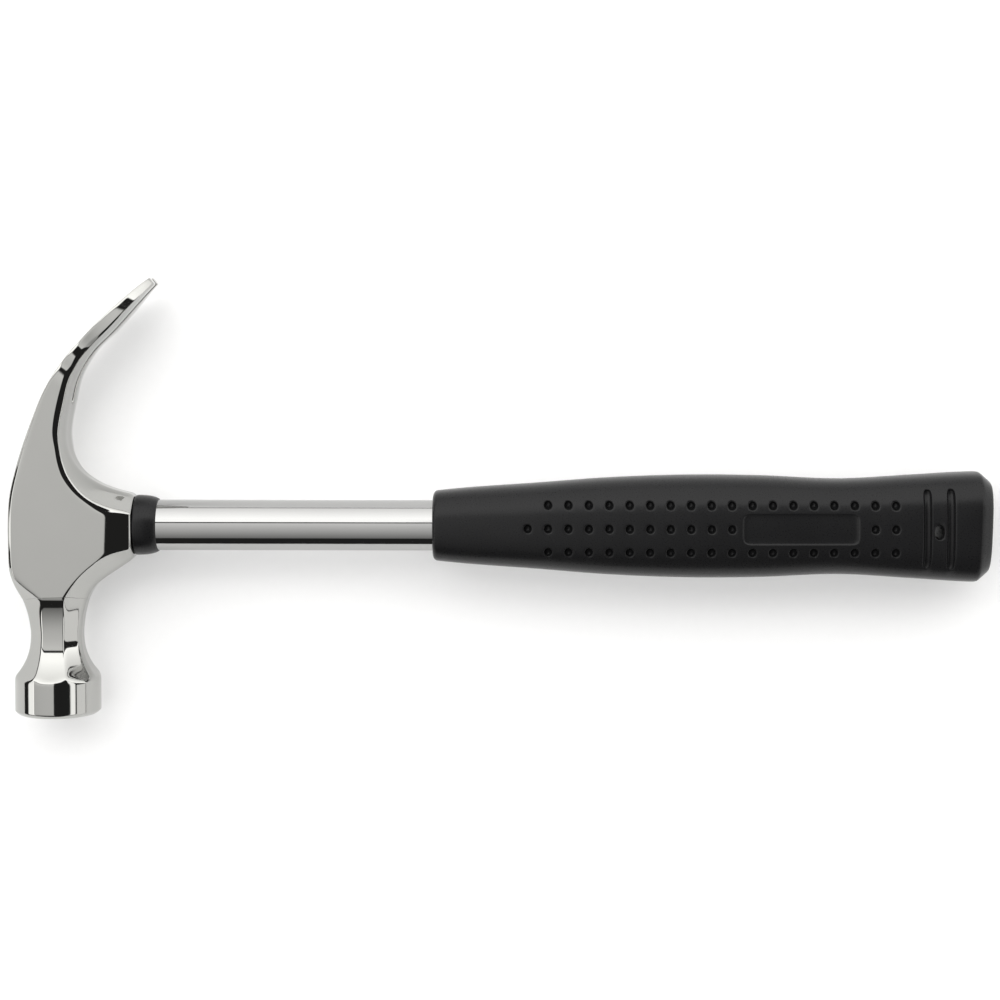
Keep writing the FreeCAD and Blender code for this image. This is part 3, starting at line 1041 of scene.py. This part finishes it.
def open_edges(bm, test):
    """The open edges of a mesh whose middle, in drawing millimetres, passes a test."""
    found = []
    for edge in bm.edges:
        middle = ((edge.verts[0].co + edge.verts[1].co) / 2 - ORIGIN) / MM
        if edge.is_boundary and test(middle):
            found.append(edge)
    return found


eye_rim = open_edges(head, lambda place: place.x < -13 and abs(place.y) < 10)
for depth, radius in ((0.25, EYE_R - 0.25), (0.6, EYE_R - 0.3), (10.0, EYE_R - 0.3)):
    def into_eye(co, depth=depth, radius=radius):
        y, z = co.y - ORIGIN.y, co.z - ORIGIN.z
        size = math.hypot(y, z)
        return at(depth - BACK, y / size * radius, z / size * radius)
    eye_rim = extruded_loop(head, eye_rim, into_eye)
bmesh.ops.contextual_create(head, geom=eye_rim)

poll_rim = open_edges(head, lambda place: place.y < -55)
for y, radius in ((FACE_Y + FACE_CHAMFER, POLL_R), (FACE_Y + 0.35, POLL_R - 1.0), (FACE_Y, POLL_R - 1.7)):
    def to_face(co, y=y, radius=radius):
        x, z = co.x - ORIGIN.x, co.z - ORIGIN.z
        size = math.hypot(x, z)
        return at(x / size * radius, y, z / size * radius)
    poll_rim = extruded_loop(head, poll_rim, to_face)
face_plate = bmesh.ops.contextual_create(head, geom=poll_rim)["faces"]
bmesh.ops.inset_region(head, faces=face_plate, thickness=1.5 * MM, use_even_offset=True)

for side in (1, -1):
    tip = open_edges(head, lambda place: place.y > 70 and place.z * side > 0)
    tip_plate = bmesh.ops.contextual_create(head, geom=tip)["faces"]
    bmesh.ops.inset_region(head, faces=tip_plate, thickness=0.35 * MM, use_even_offset=True)
print(f"open edges left in the head: {sum(edge.is_boundary for edge in head.edges)}")
finished("forged_head", head, HEAD_CHROME, "hammer_head", 1)

# %% [markdown]
# ## The table and the light
#
# A product table: a large, pale, matt sheet. Chrome has no look of its own, so the light is
# built for it. A wide soft box stands on the claws' side, a grey panel hangs overhead, two
# narrow strips and a low panel light the edges, and the rest of the room is dark. They are
# painted on the world as bands of direction, so they are the same for every part.

# %% Table
TABLE_HALF = 4.0  # metres
TABLE_GAP = 0.2 * MM


def table_top():
    """A large sheet just under the hammer."""
    bm = bmesh.new()
    bmesh.ops.create_grid(bm, x_segments=2, y_segments=2, size=TABLE_HALF)
    bmesh.ops.translate(bm, verts=bm.verts, vec=(0, 0, -TABLE_GAP))
    mesh = bpy.data.meshes.new("table_top")
    bm.to_mesh(mesh)
    bm.free()
    table = bpy.data.objects.new("table_top", mesh)
    bpy.context.collection.objects.link(table)
    material, tree, shader, place = nodes_of("pale_table")
    paper = noise(tree, place, 3.0)
    white = blend(tree, paper, (0.90, 0.90, 0.90), (0.92, 0.92, 0.92))
    tree.links.new(white, shader.inputs["Base Color"])
    shader.inputs["Roughness"].default_value = 0.9
    shader.inputs["Specular IOR Level"].default_value = 0.1
    mesh.materials.append(material)
    return table


table_top()
print("the table is laid")

# %% [markdown]
# In a studio each panel would be a light or a card on a stand. Here the world's shader holds
# them. `east` and `north` are the angles of a direction from straight up, in degrees, towards
# the butt and towards the claws, and a panel is one band of each, multiplied. Math and Map
# Range nodes are all that it takes, and a panel is moved by changing two numbers. The camera
# itself sees a plain pale backdrop.

# %% Studio light as bands of direction
world = bpy.data.worlds.new("studio")
bpy.context.scene.world = world
world.use_nodes = True
sky = world.node_tree
sky.nodes.clear()


def sky_math(operation, first, second=None):
    """One Math node. Its values are numbers or the outputs of other nodes."""
    node = sky.nodes.new("ShaderNodeMath")
    node.operation = operation
    for socket, value in zip(node.inputs, (first, second)):
        if value is None:
            continue
        if isinstance(value, (int, float)):
            socket.default_value = value
        else:
            sky.links.new(value, socket)
    return node.outputs[0]


def edge(angle, degrees, soft):
    """0 below the angle, 1 above it, with a soft step between."""
    step = sky.nodes.new("ShaderNodeMapRange")
    step.interpolation_type = "SMOOTHSTEP"
    step.inputs["From Min"].default_value = degrees - soft
    step.inputs["From Max"].default_value = degrees + soft
    sky.links.new(angle, step.inputs["Value"])
    return step.outputs["Result"]


def band(angle, low, high, soft):
    """1 between two angles and 0 outside them."""
    return sky_math("MULTIPLY", edge(angle, low, soft), sky_math("SUBTRACT", 1, edge(angle, high, soft)))


def graded(angle, start, end, first, last):
    """A brightness that changes evenly between two angles."""
    grade = sky.nodes.new("ShaderNodeMapRange")
    grade.inputs["From Min"].default_value = start
    grade.inputs["From Max"].default_value = end
    grade.inputs["To Min"].default_value = first
    grade.inputs["To Max"].default_value = last
    sky.links.new(angle, grade.inputs["Value"])
    return grade.outputs["Result"]


direction = sky.nodes.new("ShaderNodeSeparateXYZ")
sky.links.new(sky.nodes.new("ShaderNodeTexCoord").outputs["Generated"], direction.inputs[0])
east = sky_math("DEGREES", sky_math("ARCTAN2", direction.outputs["X"], direction.outputs["Z"]))
north = sky_math("DEGREES", sky_math("ARCTAN2", direction.outputs["Y"], direction.outputs["Z"]))

over_right = edge(east, -2, 1.5)
beside = sky_math("SUBTRACT", 1, over_right)
far_left = sky_math("MULTIPLY", band(north, 18, 88, 1.0), beside)
far_right = sky_math("MULTIPLY", band(north, 30, 88, 1.0), over_right)
soft_box = sky_math("MULTIPLY", sky_math("ADD", far_left, far_right), edge(east, -77, 1.5))
ceiling = sky_math("MULTIPLY", band(north, -58, 13.5, 1.5), band(east, -60, -1, 1.5))
left_strip = sky_math("MULTIPLY", band(east, -76, -58, 1.5), band(north, -60, 14, 3.0))
right_strip = sky_math("MULTIPLY", band(east, 46, 58, 2.0), band(north, -50, 27, 3.0))
low_panel = sky_math("MULTIPLY", band(east, 62, 89, 1.5), band(north, -89, -7, 1.5))

STRIP_LEVEL = 2.0
LOW_PANEL_LEVEL = 1.3
ROOM_LEVEL = 0.03
level = sky_math("MULTIPLY", soft_box, graded(north, 35, 88, 2.4, 1.5))
level = sky_math("ADD", level, sky_math("MULTIPLY", ceiling, graded(north, -56, 8, 0.3, 1.2)))
strips = sky_math("ADD", left_strip, right_strip)
level = sky_math("ADD", level, sky_math("MULTIPLY", strips, STRIP_LEVEL))
level = sky_math("ADD", level, sky_math("MULTIPLY", low_panel, LOW_PANEL_LEVEL))
level = sky_math("ADD", level, ROOM_LEVEL)
glow = sky.nodes.new("ShaderNodeBackground")
glow.inputs["Color"].default_value = (1.0, 0.995, 0.985, 1)
sky.links.new(level, glow.inputs["Strength"])
backdrop = sky.nodes.new("ShaderNodeBackground")
seen = sky.nodes.new("ShaderNodeMixShader")
sky.links.new(sky.nodes.new("ShaderNodeLightPath").outputs["Is Camera Ray"], seen.inputs[0])
sky.links.new(glow.outputs[0], seen.inputs[1])
sky.links.new(backdrop.outputs[0], seen.inputs[2])
sky.links.new(seen.outputs[0], sky.nodes.new("ShaderNodeOutputWorld").inputs["Surface"])
print(f"the studio takes {len(sky.nodes)} nodes")

# %% [markdown]
# The table has to come out nearly white, while the chrome only shows the panels. So one large
# disk lights what is matt. Chrome doesn't reflect it, and it casts no shadow, because the soft
# shadow under the hammer comes from the panels.

# %% A large lamp for the table
lamp = bpy.data.objects.new("soft_lamp", bpy.data.lights.new("soft_lamp", "AREA"))
bpy.context.collection.objects.link(lamp)
lamp.data.shape = "DISK"
lamp.data.size = 1.6
lamp.data.energy = 12.0
lamp_place = Vector((-0.35, 0.55, 1.5))
aimed = (-lamp_place).to_track_quat("-Z", "Y").to_matrix().to_4x4()
lamp.matrix_world = Matrix.Translation(lamp_place) @ aimed
lamp.visible_glossy = False
lamp.data.use_shadow = False
print(f"lamp {lamp_place.length:.2f} m away")

# %% [markdown]
# ## The camera
#
# A long lens looks almost straight down, which keeps the hammer's proportions. A small lens
# shift, as on a view camera, takes up a part of the lean, so that the head's sides stay nearly
# parallel.

# %% Camera
CAMERA_PLACE = at(157.8, 71.5, 767.0)
CAMERA_AIM = at(142.45, 40.2, 0.0)
LENS = 86.45
SENSOR = 36.0
SHIFT = -0.10

camera = bpy.data.objects.new("camera", bpy.data.cameras.new("camera"))
bpy.context.collection.objects.link(camera)
bpy.context.scene.camera = camera
camera.data.lens = LENS
camera.data.sensor_width = SENSOR
camera.data.shift_y = SHIFT
forward = (CAMERA_AIM - CAMERA_PLACE).normalized()
right = forward.cross(Vector((0, 1, 0))).normalized()
up = right.cross(forward)
turned_camera = Matrix((right, up, -forward)).transposed()
camera.matrix_world = Matrix.Translation(CAMERA_PLACE) @ turned_camera.to_4x4()
bpy.context.scene.view_settings.view_transform = "Standard"
print(f"camera {(CAMERA_PLACE - CAMERA_AIM).length:.3f} m away")
